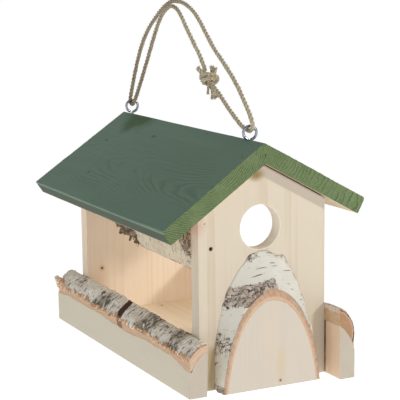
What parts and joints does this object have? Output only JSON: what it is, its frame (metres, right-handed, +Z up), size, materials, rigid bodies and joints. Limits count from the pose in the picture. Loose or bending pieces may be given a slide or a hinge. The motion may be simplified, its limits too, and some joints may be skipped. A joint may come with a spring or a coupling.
{
  "type": "hanging bird feeder",
  "caption": "Open-sided wooden bird feeder house with a green gable roof, round entry hole, birch log trims and a rope loop in two screw eyes.",
  "frame": {"origin": "on the bottom plane, under the ridge and midway along the roof boards", "axes": "+Z up, +Y along the ridge towards the rear gable, +X towards the right-hand eave seen from the front"},
  "size_m": [0.234, 0.376, 0.3854],
  "materials": {
    "pine": "raw planed pine",
    "birch_wood": "raw sawn birch",
    "birch_bark": "natural papery birch bark",
    "roof_paint": "pine with matt green wood stain",
    "painted_heads": "steel nail heads under the roof's green stain",
    "zinc_steel": "bright zinc plate",
    "hemp_rope": "three-strand laid natural hemp"
  },
  "bodies": {
    "house": {"floor_board": "pine", "front_gable": "pine", "rear_gable": "pine", "roof_board_left": "roof_paint", "roof_board_right": "roof_paint", "log_slice_core": "birch_wood", "log_slice_bark": "birch_bark", "rail_left_core": "birch_wood", "rail_left_bark": "birch_bark", "rail_right_core": "birch_wood", "rail_right_bark": "birch_bark", "eave_slab_core": "birch_wood", "eave_slab_bark": "birch_bark", "screw_eye_front": "zinc_steel", "screw_eye_rear": "zinc_steel", "floor_nails": "zinc_steel", "slab_nails": "zinc_steel", "roof_nails_left": "painted_heads", "roof_nails_right": "painted_heads", "ridge_pins": "zinc_steel", "rail_brads_left": "zinc_steel", "rail_brads_right": "zinc_steel", "slice_screws": "zinc_steel"},
    "rope_loop": {"hanging_rope": "hemp_rope", "rope_knot": "hemp_rope"}
  },
  "joints": [
    {"name": "loop_swing", "type": "hinge", "parent": "house", "child": "rope_loop", "pos_m": [0, 0, 0.2554], "axis": [0, 1, 0], "range_deg": [-118, 114]}
  ]
}
